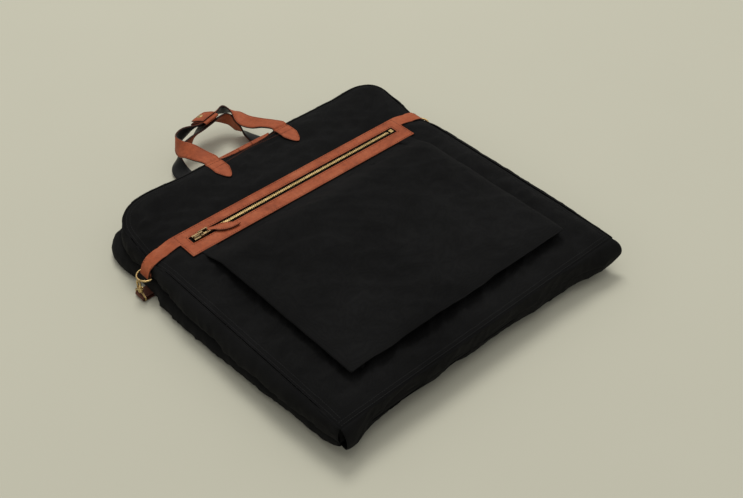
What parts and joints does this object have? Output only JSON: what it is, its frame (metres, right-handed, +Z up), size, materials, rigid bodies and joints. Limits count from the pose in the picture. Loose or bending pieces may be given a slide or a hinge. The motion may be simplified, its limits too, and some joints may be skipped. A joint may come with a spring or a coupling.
{
  "type": "folding garment bag",
  "caption": "Folded canvas garment bag with a bellows zip pocket, leather handles and strap, brass rings and snap hooks.",
  "frame": {"origin": "middle of the underside of the back half, on the surface that the folded bag lies on", "axes": "+X across the bag, +Y from the fold to the handles, +Z up"},
  "size_m": [0.6444, 0.7555, 0.087],
  "materials": {
    "canvas": "matte waxed cotton canvas",
    "lining": "satin weave lining",
    "leather": "semi-matte vegetable-tanned leather with dark stitching",
    "dark_leather": "matte dark leather",
    "black_leather": "matte black leather",
    "brass": "polished brass",
    "old_brass": "antique brass",
    "zip_tape": "matte woven tape",
    "coil": "matte nylon coil",
    "webbing": "woven webbing",
    "buckle": "matte moulded plastic"
  },
  "bodies": {
    "back_half": {"back_panel": "canvas", "back_gusset": "canvas", "back_inner_panel": "canvas", "back_lining": "lining", "back_piping": "canvas", "back_zip_tape": "zip_tape", "back_zip_coil": "coil", "back_handle_tabs": "leather", "left_hook_tab": "dark_leather", "right_hook_tab": "dark_leather", "garment_strap": "webbing", "garment_strap_buckle": "buckle"},
    "back_zip_slider": {"back_zip_slider": "brass", "back_zip_pull": "brass"},
    "fold_band": {"fold_band": "canvas"},
    "front_half": {"front_panel": "canvas", "front_gusset": "canvas", "front_inner_panel": "canvas", "front_lining": "lining", "front_piping": "canvas", "front_zip_tape": "zip_tape", "front_zip_coil": "coil", "front_handle_tabs": "leather", "hanger_port_patch": "leather", "zip_stay": "canvas", "zip_frame": "leather", "pocket_zip_tape": "zip_tape", "pocket_teeth_upper": "brass", "pocket_teeth_lower": "brass", "pocket_zip_stop": "brass", "pocket_front": "canvas", "pocket_bellows": "canvas"},
    "front_zip_slider": {"front_zip_slider": "brass", "front_zip_pull": "brass"},
    "front_handle": {"front_handle_strap": "leather", "front_handle_lining": "black_leather", "keeper_wrap": "leather", "keeper_stud": "brass"},
    "keeper_flap": {"keeper_flap": "leather", "keeper_cap": "brass"},
    "back_handle": {"back_handle_strap": "leather", "back_handle_lining": "black_leather"},
    "pocket_slider": {"pocket_slider": "old_brass"},
    "pocket_pull": {"pocket_pull_link": "old_brass", "pocket_pull_leaf": "leather"},
    "left_ring": {"left_ring": "brass"},
    "left_hook_eye": {"left_hook_eye": "brass"},
    "left_hook": {"left_hook": "brass"},
    "left_hook_bolt": {"left_hook_bolt": "brass"},
    "right_ring": {"right_ring": "brass"},
    "right_hook_eye": {"right_hook_eye": "brass"},
    "right_hook": {"right_hook": "brass"},
    "right_hook_bolt": {"right_hook_bolt": "brass"}
  },
  "joints": [
    {"name": "fold_lower", "type": "hinge", "parent": "back_half", "child": "fold_band", "pos_m": [0, -0.2928, 0.0016], "axis": [1, 0, 0], "range_deg": [0, 90]},
    {"name": "fold_upper", "type": "hinge", "parent": "fold_band", "child": "front_half", "pos_m": [0, -0.2928, 0.0684], "axis": [1, 0, 0], "range_deg": [0, 90]},
    {"name": "back_zip_slide", "type": "slide", "parent": "back_half", "child": "back_zip_slider", "axis": [0, -1, 0], "range_m": [0, 0.45]},
    {"name": "front_zip_slide", "type": "slide", "parent": "front_half", "child": "front_zip_slider", "axis": [0, -1, 0], "range_m": [0, 0.45]},
    {"name": "front_handle_swing", "type": "hinge", "parent": "front_half", "child": "front_handle", "pos_m": [0, 0.2942, 0.0746], "axis": [1, 0, 0], "range_deg": [0, 150]},
    {"name": "keeper_flap_lift", "type": "hinge", "parent": "front_handle", "child": "keeper_flap", "pos_m": [0.00814, 0.41529, 0.06605], "axis": [0.9659, 0.2588, 0], "range_deg": [0, 150]},
    {"name": "back_handle_swing", "type": "hinge", "parent": "back_half", "child": "back_handle", "pos_m": [0, 0.2942, -0.0001], "axis": [1, 0, 0], "range_deg": [-150, 0]},
    {"name": "pocket_zip_slide", "type": "slide", "parent": "front_half", "child": "pocket_slider", "axis": [1, 0, 0], "range_m": [0, 0.4]},
    {"name": "pocket_pull_flip", "type": "hinge", "parent": "pocket_slider", "child": "pocket_pull", "pos_m": [-0.203, 0.1485, 0.0797], "axis": [0, -1, 0], "range_deg": [0, 155]},
    {"name": "left_ring_swing", "type": "hinge", "parent": "front_half", "child": "left_ring", "pos_m": [-0.303, 0.163, 0.042], "axis": [0, 1, 0], "range_deg": [0, 75]},
    {"name": "left_eye_swing", "type": "hinge", "parent": "back_half", "child": "left_hook_eye", "pos_m": [-0.318, 0.163, 0.0052], "axis": [0, -1, 0], "range_deg": [0, 90]},
    {"name": "left_hook_swivel", "type": "hinge", "parent": "left_hook_eye", "child": "left_hook", "pos_m": [-0.318, 0.163, 0.0052], "axis": [0, 0, 1], "continuous": true},
    {"name": "left_bolt_slide", "type": "slide", "parent": "left_hook", "child": "left_hook_bolt", "axis": [0, 0, -1], "range_m": [0, 0.0045], "stiffness_N_per_m": 150, "springref_m": -0.002},
    {"name": "right_ring_swing", "type": "hinge", "parent": "front_half", "child": "right_ring", "pos_m": [0.303, 0.163, 0.042], "axis": [0, -1, 0], "range_deg": [0, 75]},
    {"name": "right_eye_swing", "type": "hinge", "parent": "back_half", "child": "right_hook_eye", "pos_m": [0.318, 0.163, 0.0052], "axis": [0, 1, 0], "range_deg": [0, 90]},
    {"name": "right_hook_swivel", "type": "hinge", "parent": "right_hook_eye", "child": "right_hook", "pos_m": [0.318, 0.163, 0.0052], "axis": [0, 0, 1], "continuous": true},
    {"name": "right_bolt_slide", "type": "slide", "parent": "right_hook", "child": "right_hook_bolt", "axis": [0, 0, -1], "range_m": [0, 0.0045], "stiffness_N_per_m": 150, "springref_m": -0.002}
  ],
  "couplings": [
    {"joint": "fold_upper", "follows": "fold_lower", "ratio": 1}
  ]
}
